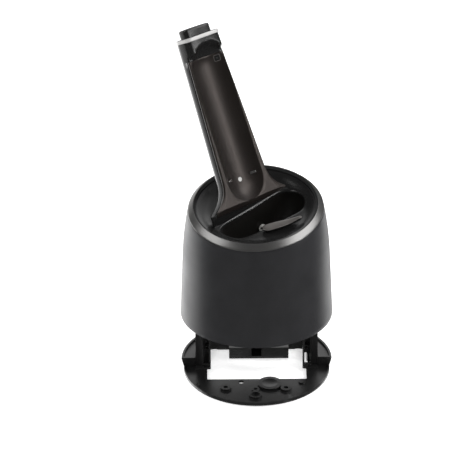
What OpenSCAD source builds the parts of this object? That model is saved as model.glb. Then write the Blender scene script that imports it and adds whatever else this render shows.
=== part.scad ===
// Shaver cleaning station: a round housing that rises on two guide columns over a base,
// with a tilted glossy deck, a cleaning basin and a leaning tower that holds the shaver.
// Origin: centre of the underside, on the table. Front is -Y, up is +Z.

/* [Base] */
// Diameter of the base tray
tray_d = 145.8; // [135:0.2:165]
// Thickness of the tray floor
tray_t = 2.6; // [2:0.1:4]
// Height of the rear housing's top rim above the table
rear_h = 13.4; // [11:0.1:18]
// Half width of the window through the tray
window_half = 49.4; // [44:0.2:52]
// Height of the rubber feet under the tray
foot_h = 1; // [0.6:0.1:2]

/* [Lift] */
// How far the housing rises to let a cartridge in
lift_travel = 54; // [40:1:65]
// Gap left above the rear housing when the housing is down
rest_gap = 0.6; // [0.4:0.1:2]
// Distance from the middle of the body to a guide column's outer face
column_x = 61; // [58:0.5:63]
// Depth of a guide column, front to back
column_depth = 14; // [12:0.5:18]
// Clearance between a guide column and its sleeve
slide_gap = 0.4; // [0.3:0.05:0.8]

/* [Housing] */
// Outer diameter of the housing at its lower edge
housing_d = 150.4; // [140:0.2:170]
// Height of the housing from its lower edge to the ring, on the axis
housing_h = 115.2; // [100:0.2:140]
// Wall of the housing
wall = 2.2; // [1.6:0.1:3]
// Tilt of the ring and deck toward the front, in degrees
deck_tilt = 11.4; // [6:0.1:16]
// Turn of the tilt toward the right, in degrees
deck_turn = 8.5; // [0:0.5:14]
// Width of the metal ring, seen from above
ring_w = 5.6; // [4:0.1:8]
// Height of the metal ring's chamfer
ring_h = 5.2; // [3.4:0.1:7]

/* [Basin] */
// Length of the basin's opening
basin_l = 93.5; // [80:0.5:96]
// Width of the basin's opening at its wide right-hand end
basin_w = 39; // [34:0.5:42]
// Depth of the basin below the deck, on the axis
basin_depth = 41; // [30:1:48]

/* [Tower] */
// Turn of the tower about the vertical, in degrees
tower_yaw = 42; // [20:1:60]
// Lean of the tower, in degrees
tower_lean = 26.6; // [20:0.1:36]
// Height of the tower from its contacts to the top of the silver ring
tower_h = 143.8; // [120:0.2:170]
// Width of the tower at the top
tower_w = 42.3; // [38:0.1:50]
// Depth of the tower at the top, front to back
tower_d = 28.6; // [25:0.1:36]
// Radius of the hollow that cradles the shaver
cradle_r = 31; // [26:0.5:40]

/* [Controls] */
// Travel of the start button
start_travel = 1.6; // [1:0.1:2.5]
// Travel of the lift release button
release_travel = 3; // [2:0.1:4]
// Travel of a charging contact
contact_travel = 0.8; // [0.5:0.1:1.2]
// Length of the shaver latch
latch_l = 41; // [34:0.5:46]

/* [Hidden] */

$fn = 64;
eps = 0.01;
big = 300;

// Colours
BLACK_GLOSS = [0.05, 0.05, 0.055];
CHARCOAL = [0.24, 0.24, 0.26];
MOULDED = [0.16, 0.16, 0.17];
GUNMETAL = [0.42, 0.42, 0.43];
SILVER = [0.82, 0.82, 0.83];
BROWN_GREY = [0.30, 0.27, 0.26];
RUBBER = [0.10, 0.10, 0.10];
BOARD_GREEN = [0.12, 0.34, 0.20];
BRASS = [0.75, 0.62, 0.30];

// Base levels
tray_r = tray_d / 2;
tray_z = foot_h;
floor_z = tray_z + tray_t;
tray_rim_z = floor_z + 1.5;
rear_floor_z = rear_h - 2;
rear_r = tray_r + 2.6;

// Housing levels, in the raised position
housing_r = housing_d / 2;
housing_z = rear_h + rest_gap + lift_travel;
deck_z = housing_z + housing_h;
tilt_k = tan(deck_tilt);
side_slope = 0.0465;
bend_h = 0.58 * housing_h;
bend_r = 2.75 * housing_h;

// Guide columns
pillar_w = 7.5;
rail_w = 1.9;
web_w = 5.6;
column_inner_x = column_x - pillar_w - web_w - rail_w;
column_top_z = housing_z + 22;
web_y = column_depth - 5;
bore_x = column_x - pillar_w / 2;
bore_y = column_depth / 2;
bore_r = 2.8;
bore_floor_z = floor_z + 3;
rod_r = 2.3;
rod_lap = 2;
spring_turns = 14;
foot_block_h = 3.4;
hook_at = [3.4, 23.5];
rack_hook_r = 2.6;
slot_x = column_inner_x + rail_w;
slot_w = 3.4;
slot_h = 10.2;
slot_front_y = 5.6;
stop_z = column_top_z - 4;
stop_w = 1.6;

// Sleeves
sleeve_wall = 1.8;
sleeve_z = housing_z + 7;
sleeve_top_z = column_top_z + lift_travel + 1;
lip_top_z = stop_z - 0.3;

// Chassis
chassis_z = housing_z + 44;
chassis_t = 3;
chassis_top_z = chassis_z + chassis_t;

// Window in the tray
window_front_y = -25;
block_y = 20;
block_half = 30;
block_shift = 2.4;
bay_y = 31;
bay_r = 8;
bay_half = 50.4;

// Deck
deck_t = 2.4;
dish = 3;
dish_r = 51.6;
deck_r = shell_r(deck_z) - ring_w - 1.3;
deck_shift = -2.2;
seal_w = 2.2;
seal_drop = 0.9;
seal_t = 2;
deck_rim_z = ring_h - seal_drop - seal_t - 0.1;

// Basin, on the deck, in a frame turned by the tower's yaw
basin_right = [28.05, -10.6];
basin_left_r = 0.975 * basin_w / 2;
basin_left = [basin_right[0] + basin_w / 2 + basin_left_r - basin_l, -5.1];
basin_rear_y = 5.6;
basin_low_right = [12, -9];
basin_low_left = [-12, -7];
basin_low_r = 0.56 * basin_w / 2;
basin_wall = 1.8;
basin_floor_z = deck_z - basin_depth;
drain_r = 6;

// Tower frame: x across, -y toward the shaver, z up the tower
tower_reach = 20.7;
tower_z = deck_z + 24.95;
front_y = -5.5;
collar_front_y = -12.5;
belly_y = 2.3;
back_y = tower_d + collar_front_y;
cradle_deep_y = 3.7;
cradle_y = cradle_deep_y - cradle_r;
cradle_low_z = -2.4;
cradle_top_z = tower_h - 35.2;
cradle_wall = 2.2;
collar_z = tower_h - 18;
ring_z = tower_h - 3.5;
tower_foot_z = -52;
crease_a = -23.6;
crease_y = tower_reach + front_y * cos(tower_lean) + crease_a * sin(tower_lean);
crease_z = tower_z - front_y * sin(tower_lean) + crease_a * cos(tower_lean);
strip_h = 5;
strip_step = 0.7;
part_y = -3.2;
part_gap = 0.1;
tower_wall = 2.2;
tower_taper = 0.049;
flare_max = 19;
button_inset = 5;
button_h = 8.3;
contact_x = 14.8;
contact_w = 6.3;
contact_t = 2.5;
contact_l = 3.4;
lens_z = -2.3;
lens_r = 2.25;
window_turn = 30;
window_rise = 15;
window_size = 6;
cavity_y = cradle_deep_y + cradle_wall + 0.6;
board_y = cavity_y + 0.9;
board_t = 1.4;
switch_z = ring_z - 15;
plunger_y = board_y + 1.6;
button_drop = 2;
wire_b = 18;

// Pump
pump_x = 30;
pump_y = 44;
pump_r = 14;
volute_h = 13;
motor_r = 12;
motor_h = 30;
shaft_r = 1.25;
impeller_r = 10;
pipe_r = 3;
pipe_bore = 2;
volute_z = chassis_top_z;
motor_z = volute_z + volute_h;

// Rear controls
release_z = chassis_z - 9;
release_w = 16;
release_h = 9;
slider_w = 8;
slider_t = 3;
hook_y = 24;
hook_t = 2.6;
hook_drop_z = rear_h + lift_travel - 5.8;
socket_turn = -24;
socket_z = housing_z + 17;
socket_w = 15;
socket_hh = 10;

// ---------- functions ----------

// Outer radius of the housing at a height
function shell_r(z) =
    housing_r - side_slope * (z - housing_z) - pow(max(0, z - housing_z - bend_h), 2) / (2 * bend_r);

// Outer radius where the tilted top plane, raised by h, meets the housing at an angle
function rim_r(a, h = 0, tries = 4) =
    tries == 0 ? shell_r(deck_z) : shell_r(deck_z + h + tilt_k * rim_r(a, h, tries - 1) * sin(a + deck_turn));

// Half width of the tower at a height up the tower
function tower_half(z) =
    tower_w / 2 - 0.4 + tower_taper * (tower_h - z) + min(flare_max, 0.00134 * pow(max(0, 5 - z), 2.8));

// D-shaped section: rounded front corners and a half ellipse behind
function d_section(half, front, belly, back, corner, z) = concat(
    [for (a = [0:10:180]) [half * cos(a), belly + (back - belly) * sin(a), z]],
    [for (a = [180:30:270]) [-half + corner + corner * cos(a), front + corner + corner * sin(a), z]],
    [for (a = [270:30:360]) [half - corner + corner * cos(a), front + corner + corner * sin(a), z]]
);

// Front face of the tower at a height: it steps forward at the collar
function tower_front(z) =
    z > collar_z + 3 ? collar_front_y : z < collar_z - 2 ? front_y : front_y + (collar_front_y - front_y)
        * (z - collar_z + 2) / 5;

function tower_section(z) = d_section(tower_half(z), tower_front(z), belly_y, back_y,
    z > collar_z ? 6 : 1.5, z);

// ---------- helpers ----------

// Solid through a list of rings with equal numbers of points, each ring flat
module loft(rings) {
    n = len(rings[0]);
    m = len(rings);
    points = [for (ring = rings) for (p = ring) p];
    sides = [for (i = [0:m - 2]) for (j = [0:n - 1])
        [i * n + j, (i + 1) * n + j, (i + 1) * n + (j + 1) % n, i * n + (j + 1) % n]];
    polyhedron(points, concat(sides, [[for (j = [0:n - 1]) j]], [[for (j = [n - 1:-1:0]) (m - 1) * n + j]]));
}

// Closed band round the rim: each profile has the same points, and the last joins the first
module band(profiles) {
    n = len(profiles);
    m = len(profiles[0]);
    points = [for (profile = profiles) for (p = profile) p];
    polyhedron(points, [for (i = [0:n - 1]) for (j = [0:m - 1])
        [i * m + j, i * m + (j + 1) % m, ((i + 1) % n) * m + (j + 1) % m, ((i + 1) % n) * m + j]]);
}

// Point on the rim: r inward from the edge of the housing, h above the tilted top plane
function rim_point(a, inward, h) =
    let (r = rim_r(a) - inward) [r * cos(a), r * sin(a), deck_z + tilt_k * r * sin(a + deck_turn) + h];

module tower_frame() {
    translate([0, 0, tower_z]) rotate([0, 0, tower_yaw]) translate([0, tower_reach, 0])
        rotate([-tower_lean, 0, 0]) children();
}

module deck_frame() {
    translate([0, 0, deck_z]) rotate([0, 0, -deck_turn]) translate([0, deck_shift, tilt_k * deck_shift])
        rotate([deck_tilt, 0, 0]) rotate([0, 0, deck_turn]) children();
}

// Everything above the tilted plane, raised by h
module above_deck(h) {
    deck_frame() translate([-big / 2, -big / 2, h]) cube([big, big, big]);
}

module box(x0, x1, y0, y1, z0, z1) {
    translate([x0, y0, z0]) cube([x1 - x0, y1 - y0, z1 - z0]);
}

// Coil spring with flat ends cut off, standing on z = 0
module coil(radius, wire, h, turns) {
    steps = 10;
    n = 4;
    count = turns * steps;
    m = count + 1;
    points = [for (i = [0:count]) let (a = 360 * i / steps, z = wire / 2 + (h - wire) * i / count)
        for (k = [0:n - 1]) let (q = 360 * k / n, r = radius + wire / 2 * cos(q))
            [r * cos(a), r * sin(a), z + wire / 2 * sin(q)]];
    near = [for (i = [0:m - 2]) for (j = [0:n - 1]) [i * n + j, i * n + (j + 1) % n,
        (i + 1) * n + (j + 1) % n]];
    far = [for (i = [0:m - 2]) for (j = [0:n - 1]) [i * n + j, (i + 1) * n + (j + 1) % n, (i + 1) * n + j]];
    ends = [[for (j = [n - 1:-1:0]) j], [for (j = [0:n - 1]) (m - 1) * n + j]];
    polyhedron(points, concat(near, far, ends));
}

// ---------- base ----------

// Outline of the window through the tray, grown by g
module window_outline(g = 0) {
    for (side = [0, 1]) let (block_edge = block_half + (1 - 2 * side) * block_shift) mirror([side, 0]) {
        translate([-g, window_front_y - g]) square([window_half + 2 * g, -window_front_y - 0.6 + g]);
        translate([-g, -1]) square([column_inner_x + 2 * g, block_y + 1 + g]);
        translate([block_edge - g, column_depth - g])
            square([bay_half - block_edge + 2 * g, bay_y - column_depth + g]);
        translate([block_edge - g, bay_y - g]) square([bay_half - bay_r - block_edge + g, bay_r + 2 * g - 1]);
        translate([bay_half - bay_r, bay_y]) intersection() {
            circle(r = bay_r + g);
            translate([-bay_r, -eps]) square([2 * bay_r + g, bay_r + g]);
        }
    }
}

// Outline of the raised rear part, shrunk by g
module rear_outline(g = 0) {
    difference() {
        intersection() {
            circle(r = rear_r - 0.4 - g, $fn = 96);
            translate([-big / 2, 1 + g]) square([big, big]);
        }
        window_outline(g);
        translate([-column_x - 0.3 - g, -1]) square([2 * (column_x + 0.3 + g), column_depth + 1.3 + g]);
    }
}

module screw_boss(x, y, d, h, hole) {
    translate([x, y, floor_z]) difference() {
        cylinder(d = d, h = h);
        translate([0, 0, -eps]) cylinder(d = hole, h = h + 1);
    }
}

module base_tray() {
    color(MOULDED) {
        difference() {
            union() {
                translate([0, 0, tray_z]) cylinder(r = tray_r - 0.8, h = 1, $fn = 96);
                translate([0, 0, tray_z + 1]) cylinder(r = tray_r, h = tray_t - 1, $fn = 96);
                translate([0, 0, floor_z]) cylinder(r = tray_r, h = tray_rim_z - floor_z, $fn = 96);
            }
            translate([0, 0, floor_z]) cylinder(r = tray_r - 1.6, h = 10, $fn = 96);
            translate([0, 0, floor_z]) translate([-big / 2, 0.9, 0]) cube([big, big, 10]);
            translate([0, 0, -1]) linear_extrude(height = 20) window_outline();
            box(slot_x, slot_x + slot_w, slot_front_y, column_depth + eps, -1, 20);
            translate([-15.7, -30.4, -1]) cylinder(d = 6, h = 20);
            for (p = feet_xy) translate([p[0], p[1], tray_z - 1]) cylinder(r = 5.2, h = 1.6);
            for (p = base_screw_xy) translate([p[0], p[1], 0]) cylinder(r = 1.6, h = 10);
            for (p = base_screw_xy) translate([p[0], p[1], 0]) cylinder(r = 3.1, h = tray_z + 1.2);
        }
        difference() {
            union() {
                screw_boss(-31, -43, 11, 2, 4.5);
                screw_boss(-1.8, -57.4, 12.6, 2, 8.6);
                screw_boss(-1.5, -46, 8, 1.2, 4);
                screw_boss(28.5, -44.9, 11, 2, 4.5);
                screw_boss(-59.5, -36.8, 6, 1.6, 2);
                translate([44.6, -31.9, floor_z]) cylinder(d = 7, h = 1.4);
                translate([12.7, -35.7, floor_z]) cylinder(r1 = 11, r2 = 12, h = 2);
            }
            translate([12.7, -35.7, floor_z + 41.2]) sphere(r = 40);
            translate([0, 0, floor_z - 1]) difference() {
                cylinder(r = big, h = 10);
                translate([0, 0, -1]) cylinder(r = tray_r - 0.8, h = 12);
            }
        }
    }
}

feet_xy = [for (a = [53, 127, 238, 302]) [62 * cos(a), 62 * sin(a)]];
base_screw_xy = [for (a = [25, 74, 106, 155]) [66 * cos(a), 66 * sin(a)]];

module rubber_feet() {
    color(RUBBER) for (p = feet_xy) translate([p[0], p[1], 0]) cylinder(r = 5, h = tray_z + 0.6);
}

module base_screws() {
    color(SILVER) for (p = base_screw_xy) translate([p[0], p[1], tray_z + 0.1]) {
        cylinder(r = 2.8, h = 1.1);
        cylinder(r = 1.4, h = 7);
    }
}

module base_rear_housing() {
    color(MOULDED) difference() {
        union() {
            intersection() {
                translate([0, 0, floor_z]) cylinder(r1 = tray_r, r2 = rear_r, h = rear_h - floor_z, $fn = 96);
                translate([0, 0, floor_z]) linear_extrude(height = rear_h - floor_z) rear_outline();
            }
        }
        difference() {
            translate([0, 0, rear_floor_z]) linear_extrude(height = 10) rear_outline(2);
            box(block_shift - block_half, block_shift + block_half, 0, block_y + 16, 0, 30);
        }
        difference() {
            translate([0, 0, floor_z - eps]) linear_extrude(height = rear_floor_z - 2 - floor_z)
                rear_outline(2.2);
            for (p = base_screw_xy) translate([p[0], p[1], 0]) cylinder(r = 4, h = 20);
        }
        for (p = base_screw_xy) translate([p[0], p[1], 0]) cylinder(r = 1.4, h = tray_z + 7.2);
        translate([block_shift, block_y + 1.4, rear_h]) rotate([90, 0, 0])
            cylinder(r = 3.75, h = 6, center = true);
        box(-5, 5, hook_y - 1 - release_travel, hook_y + hook_t + 0.5, floor_z - 1, rear_h + 1);
        box(-5, 5, hook_y - 1 - release_travel, hook_y + hook_t + 3, floor_z - 1, rear_h - 3);
    }
}

// Guide column, drawn on the right
module column() {
    color(MOULDED) difference() {
        union() {
            box(column_x - pillar_w, column_x, 0, column_depth, floor_z, column_top_z);
            box(column_inner_x, column_inner_x + rail_w, 1, column_depth, floor_z, column_top_z);
            box(column_inner_x, column_x, web_y, column_depth, floor_z, column_top_z);
            box(column_inner_x + 0.8, column_x, -5.5, 2, floor_z, floor_z + 1.6);
            box(column_x - pillar_w - 2, column_x, column_depth - eps, column_depth + stop_w, stop_z,
                column_top_z);
            box(column_inner_x, column_x - pillar_w + 1, -1.5, 1.5, floor_z, floor_z + foot_block_h);
            translate([column_inner_x + hook_at[0], web_y + eps, hook_at[1]]) rotate([90, 0, 0]) rack_hook();
        }
        translate([bore_x, bore_y, bore_floor_z]) cylinder(r = bore_r, h = 200);
        translate([column_inner_x + 6, -3, floor_z - 1]) cylinder(r = 1.2, h = 5);
    }
}

// Hook in the column's recess: a bent finger on a short stem
module rack_hook() {
    linear_extrude(height = web_y - 3) {
        difference() {
            circle(r = rack_hook_r);
            circle(r = rack_hook_r - 1.2);
            translate([-2 * rack_hook_r, -2 * rack_hook_r]) square(2 * rack_hook_r);
        }
        translate([-0.6, -rack_hook_r - 2.2]) square([1.2, 3.4]);
    }
}

// The right-hand column has a slot through its web, which goes on through the tray
module column_right() {
    difference() {
        column();
        box(slot_x, slot_x + slot_w, 2, column_depth + 1, floor_z - 1, floor_z + slot_h);
    }
}

module column_left() {
    mirror([1, 0, 0]) column();
}

module lift_spring_right() {
    color(SILVER) translate([bore_x, bore_y, bore_floor_z])
        coil(2, 0.8, column_top_z - rod_lap - bore_floor_z, spring_turns);
}

module lift_spring_left() {
    mirror([1, 0, 0]) lift_spring_right();
}

// ---------- housing ----------

shell_steps = 12;
shell_top_z = deck_z + 22;

module shell_profile(inward) {
    zs = [for (i = [0:shell_steps]) housing_z + (shell_top_z - housing_z) * i / shell_steps];
    polygon(concat([[0, housing_z]], [for (z = zs) [shell_r(z) - inward, z]], [[0, shell_top_z]]));
}

module outer_shell() {
    color(CHARCOAL) difference() {
        rotate_extrude($fn = 128) difference() {
            shell_profile(0);
            translate([0, -eps]) shell_profile(wall);
            translate([0, -5]) square([housing_r - wall + 0.1, housing_z + 5.5]);
        }
        above_deck(-0.15);
        box(-release_w / 2 - 0.4, release_w / 2 + 0.4, 50, 90, release_z - release_h / 2 - 0.4,
            release_z + release_h / 2 + 0.4);
        rotate([0, 0, socket_turn]) box(-socket_w / 2, socket_w / 2, 60, 90, socket_z - socket_hh / 2,
            socket_z + socket_hh / 2);
    }
}

rim_steps = 96;

module metal_ring() {
    color(GUNMETAL) band([for (i = [0:rim_steps - 1]) let (a = 360 * i / rim_steps) [
        rim_point(a, 0.1, 0.1),
        rim_point(a, 0.2, 0.7),
        rim_point(a, ring_w - 0.3, ring_h),
        rim_point(a, ring_w, ring_h - 0.1),
        rim_point(a, ring_w, ring_h - 3.6),
        rim_point(a, wall + 1.4, -3),
        rim_point(a, wall + 0.4, -3),
        rim_point(a, wall + 0.4, 0.1)
    ]]);
}

module deck_seal() {
    color(RUBBER) band([for (i = [0:rim_steps - 1]) let (a = 360 * i / rim_steps) [
        rim_point(a, ring_w + 0.05, ring_h - seal_drop),
        rim_point(a, ring_w + seal_w, ring_h - seal_drop - 0.3),
        rim_point(a, ring_w + seal_w, ring_h - seal_drop - seal_t),
        rim_point(a, ring_w + 0.05, ring_h - seal_drop - seal_t)
    ]]);
}

// Upper face of the deck from its rim to the middle: a flat rim under the seal, then a smooth dish
function deck_curve(drop = 0) = concat([[deck_r, deck_rim_z - drop]],
    [for (a = [0:15:180]) [
        deck_r - 3 - (deck_r - 3 - dish_r) * a / 180,
        deck_rim_z - drop - (deck_rim_z + dish) * (1 - cos(a)) / 2]],
    [[0, -dish - drop]]);

function flipped(list) = [for (i = [len(list) - 1:-1:0]) list[i]];

module deck_plate() {
    deck_frame() rotate_extrude($fn = 96) polygon(concat(deck_curve(), flipped(deck_curve(deck_t))));
}

// Slice of the basin between two circles, cut straight along the tower's foot
module basin_slice(left, left_r, right, right_r, rear, grow) {
    linear_extrude(height = 0.5) intersection() {
        hull() {
            translate(left) circle(r = left_r + grow, $fn = 48);
            translate(right) circle(r = right_r + grow, $fn = 48);
        }
        translate([-big / 2, rear + grow - big]) square([big, big]);
    }
}

module basin_solid(grow, floor_drop, rise) {
    hull() {
        deck_frame() rotate([0, 0, tower_yaw]) translate([0, 0, -dish - deck_t + rise])
            basin_slice(basin_left, basin_left_r, basin_right, basin_w / 2, basin_rear_y, grow);
        rotate([0, 0, tower_yaw]) translate([0, 0, basin_floor_z - floor_drop])
            basin_slice(basin_low_left, basin_low_r, basin_low_right, basin_low_r, 0, grow);
    }
}

module basin_deck() {
    color(BLACK_GLOSS) difference() {
        union() {
            deck_plate();
            basin_solid(basin_wall, basin_wall, deck_t / 3);
            latch_frame() for (side = [-1, 1]) latch_lug(side);
            intersection() {
                for (p = chassis_screw_xy) translate([p[0], p[1], chassis_top_z]) cylinder(r = 3.5, h = 100);
                below_deck(deck_t / 2);
            }
        }
        for (p = chassis_screw_xy) translate([p[0], p[1], chassis_top_z - 1]) cylinder(r = 1.35, h = 10);
        basin_solid(0, 0, deck_t + 6);
        drain_frame() translate([0, 0, basin_floor_z - 10]) cylinder(r = drain_r, h = 20);
        rotate([0, 0, tower_yaw]) translate([0, wire_b, deck_z - 20]) cylinder(r = 4, h = 30);
        translate([feed_x, feed_y, feed_top_z]) rotate([90, 0, 0]) cylinder(r = pipe_r + 0.05, h = 40);
        latch_frame() translate([-latch_l / 2, latch_pin_y, latch_pin_z]) rotate([0, 90, 0])
            cylinder(r = latch_pin_r, h = latch_l);
    }
}

module drain_frame() {
    rotate([0, 0, tower_yaw]) translate([0, -6, 0]) children();
}

module drain_spout() {
    color(MOULDED) drain_frame() difference() {
        union() {
            translate([0, 0, chassis_z - 6])
                cylinder(r = drain_r + 1.5, h = basin_floor_z - basin_wall - chassis_z + 6);
            translate([0, 0, basin_floor_z - basin_wall - 2]) cylinder(r = drain_r + 5, h = 2);
        }
        translate([0, 0, chassis_z - 7]) cylinder(r = drain_r, h = 60);
    }
}

module spout_seal() {
    color(RUBBER) drain_frame() difference() {
        translate([0, 0, chassis_z - 5]) cylinder(r = drain_r + 4.5, h = 5);
        translate([0, 0, chassis_z - 6]) cylinder(r = drain_r + 1.55, h = 8);
    }
}

module chassis_plate() {
    color(MOULDED) difference() {
        translate([0, 0, chassis_z]) cylinder(r = shell_r(chassis_top_z) - wall, h = chassis_t, $fn = 96);
        for (side = [0, 1]) mirror([side, 0, 0])
            box(column_inner_x - slide_gap - sleeve_wall, column_x + slide_gap + sleeve_wall,
                -slide_gap - sleeve_wall, column_depth + stop_w + slide_gap + sleeve_wall,
                chassis_z - 1, chassis_top_z + 10);
        drain_frame() translate([0, 0, chassis_z - 1]) cylinder(r = drain_r + 1.6, h = 10);
        translate([pump_x, pump_y, chassis_z - 1]) cylinder(r = pipe_r + 0.1, h = 10);
        for (p = chassis_screw_xy) translate([p[0], p[1], chassis_z - 1]) cylinder(r = 1.5, h = 20);
    }
}

chassis_screw_xy = [for (a = [31, 149, 230, 310]) [54 * cos(a), 54 * sin(a)]];

module chassis_screws() {
    color(SILVER) for (p = chassis_screw_xy) translate([p[0], p[1], chassis_z - 1.5]) {
        cylinder(r = 3, h = 1.5);
        cylinder(r = 1.3, h = 11);
    }
}

// Right-hand sleeve: rides on the column, carries the rod that presses on the spring
module guide_sleeve_right() {
    x0 = column_inner_x - slide_gap;
    x1 = column_x + slide_gap;
    y1 = column_depth + slide_gap;
    color(MOULDED) {
        difference() {
            box(x0 - sleeve_wall, x1 + sleeve_wall, -slide_gap - sleeve_wall, y1 + stop_w + sleeve_wall,
                sleeve_z, sleeve_top_z + 3);
            box(x0, x1, -slide_gap, y1, sleeve_z - 1, sleeve_top_z);
            box(x0, x1, -slide_gap, y1 + stop_w, lip_top_z, sleeve_top_z);
        }
        translate([bore_x, bore_y, column_top_z - rod_lap])
            cylinder(r = rod_r, h = sleeve_top_z - column_top_z + rod_lap + eps);
    }
}

module guide_sleeve_left() {
    mirror([1, 0, 0]) guide_sleeve_right();
}

// ---------- tower ----------

tower_zs = [tower_foot_z, -40, -29, -26, -22, -18, -14, -9, -3, 5, 40, 80, collar_z - 2, collar_z + 3,
    ring_z];

module tower_body() {
    loft([for (z = tower_zs) tower_section(z)]);
}

// The hollow that cradles the shaver, with round ends
module cradle(grow = 0) {
    translate([0, cradle_y, cradle_low_z])
        cylinder(r = cradle_r + grow, h = cradle_top_z - cradle_low_z, $fn = 96);
    translate([0, cradle_y, cradle_low_z]) sphere(r = cradle_r + grow, $fn = 96);
    translate([0, cradle_y, cradle_top_z]) sphere(r = cradle_r + grow, $fn = 96);
}

// Everything under the deck's upper face, moved down by drop
module below_deck(drop = 0) {
    deck_frame() rotate_extrude($fn = 96)
        polygon(concat([[0, -90], [big, -90], [big, deck_rim_z - drop]], deck_curve(drop)));
}

// The space in front of the tower's foot, below the crease
module foot_space() {
    rotate([0, 0, tower_yaw]) rotate([90, 0, 90]) linear_extrude(height = big, center = true) polygon([
        [crease_y - 60, crease_z],
        [crease_y, crease_z],
        [crease_y, crease_z - strip_h],
        [crease_y + strip_step, crease_z - strip_h],
        [crease_y + strip_step, crease_z - 60],
        [crease_y - 60, crease_z - 60]
    ]);
}

// What belongs to the front panel: a thin front face and the skin of the cradle
module panel_zone(gap) {
    box(-60, 60, -60, part_y - gap, tower_foot_z - gap, collar_z - 4 - gap);
    intersection() {
        cradle(cradle_wall - gap);
        box(-60, 60, -60, 60, tower_foot_z - gap, collar_z - 4 - gap);
    }
}

module tower_rear_shell() {
    color(BLACK_GLOSS) difference() {
        tower_frame() difference() {
            tower_body();
            panel_zone(-part_gap);
            cradle();
            difference() {
                tower_cavity();
                for (x = [-11, 11]) for (z = [15, 100]) translate([x, board_y + board_t, z])
                    rotate([-90, 0, 0])
                    cylinder(r = 1.8, h = 20, $fn = 24);
            }
            translate([0, 0, ring_z - 5.5]) linear_extrude(height = 20) button_outline(0.3);
            translate([0, plunger_y, switch_z]) cylinder(r = 3.5, h = 12);
            for (side = [-1, 1]) contact_frame(side) box(-contact_w / 2 - 1.4, contact_w / 2 + 1.4,
                cradle_wall - 0.6, contact_l + contact_travel + 0.3, -contact_t / 2 - 1.4,
                    contact_t / 2 + 1.4);
        }
        below_deck();
        foot_space();
    }
}

// Section of the space inside the tower: the body's section moved in, cut along the back of the cradle
function cavity_section(z) =
    let (half = tower_half(max(z, 5)) - tower_wall - 0.4, back = back_y - tower_wall)
    let (start = asin((cavity_y - belly_y) / (back - belly_y)))
    [for (i = [0:12]) let (a = start + (180 - 2 * start) * i / 12) [half * cos(a),
        belly_y + (back - belly_y) * sin(a), z]];

module tower_cavity() {
    loft([for (z = [tower_foot_z - 1, 5, 80, ring_z - 8]) cavity_section(z)]);
}

module tower_front_panel() {
    color(BROWN_GREY) difference() {
        tower_frame() difference() {
            intersection() {
                tower_body();
                panel_zone(0);
            }
            cradle();
            for (side = [-1, 1]) contact_frame(side)
                box(-contact_w / 2 - 0.15, contact_w / 2 + 0.15, -3, 8, -contact_t / 2 - 0.15,
                    contact_t / 2 + 0.15);
            translate([0, -10, lens_z]) rotate([-90, 0, 0]) cylinder(r = lens_r + 0.05, h = 30);
            window_frame() cube([window_size, 2 * cradle_wall, window_size], center = true);
            window_frame() translate([0, cradle_wall, 0])
                cube([window_size, 3 * cradle_wall, window_size], center = true);
        }
        below_deck();
        foot_space();
    }
}

// Frame at a contact: x along the slope of the cradle, -y out of it
module contact_frame(side) {
    turn = side * asin(contact_x / cradle_r);
    translate([0, cradle_y, 0]) rotate([0, 0, -turn]) translate([0, cradle_r, 0]) children();
}

module contact_bar(side) {
    color(SILVER) tower_frame() contact_frame(side) union() {
        box(-contact_w / 2, contact_w / 2, -0.9, contact_l, -contact_t / 2, contact_t / 2);
        box(-contact_w / 2 - 1, contact_w / 2 + 1, cradle_wall + 0.1, cradle_wall + 1.2,
            -contact_t / 2 - 1, contact_t / 2 + 1);
    }
}

module contact_left() {
    contact_bar(-1);
}

module contact_right() {
    contact_bar(1);
}

module status_lens() {
    color("white") tower_frame() translate([0, cradle_deep_y - 0.1, lens_z]) rotate([-90, 0, 0])
        cylinder(r = lens_r, h = cradle_wall - 0.6);
}

// Frame at the sensor window: y points out of the tower's back, square to the hollow's round end
module window_frame() {
    translate([0, cradle_y, cradle_top_z]) rotate([window_rise, 0, -window_turn])
        translate([0, cradle_r, 0]) children();
}

module sensor_window() {
    side = window_size / 2 - 0.1;
    color(BLACK_GLOSS) tower_frame() window_frame() box(-side, side, 0.4, cradle_wall - 0.3, -side, side);
}

// Outline of the start button, from the collar's outline moved inward
module button_outline(g = 0) {
    polygon([for (p = d_section(tower_half(ring_z) - button_inset + g, collar_front_y + button_inset - g,
        belly_y,
        back_y - button_inset + g, 4 + g, 0)) [p[0], p[1]]]);
}

module silver_ring() {
    color("white") tower_frame() difference() {
        loft([for (z = [ring_z + 0.02, tower_h]) d_section(tower_half(ring_z) + 0.5,
            collar_front_y - 0.5, belly_y, back_y + 0.5, 6.5, z)]);
        translate([0, 0, ring_z - 1]) linear_extrude(height = 10) button_outline(0.3);
    }
}

module start_button() {
    color(BLACK_GLOSS) tower_frame() {
        translate([0, 0, ring_z - button_drop])
            linear_extrude(height = tower_h + button_h - ring_z + button_drop)
            button_outline();
        translate([0, plunger_y, ring_z - 10]) cylinder(r = 1.6, h = 10 - button_drop + eps);
    }
}

module start_spring() {
    color(SILVER) tower_frame() translate([0, plunger_y, switch_z + 0.05])
        coil(2.8, 0.7, ring_z - button_drop - switch_z - 0.1, 5);
}

module tower_board() {
    color(BOARD_GREEN) tower_frame() box(-14, 14, board_y, board_y + board_t, 6, switch_z - 2);
}

module start_switch() {
    color(RUBBER) tower_frame() {
        box(-6, 6, board_y, plunger_y + 3.2, switch_z - 2, switch_z);
        translate([0, plunger_y, switch_z - eps]) cylinder(r = 1.2, h = 5 - start_travel - 0.1);
    }
}

// ---------- shaver latch ----------

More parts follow.
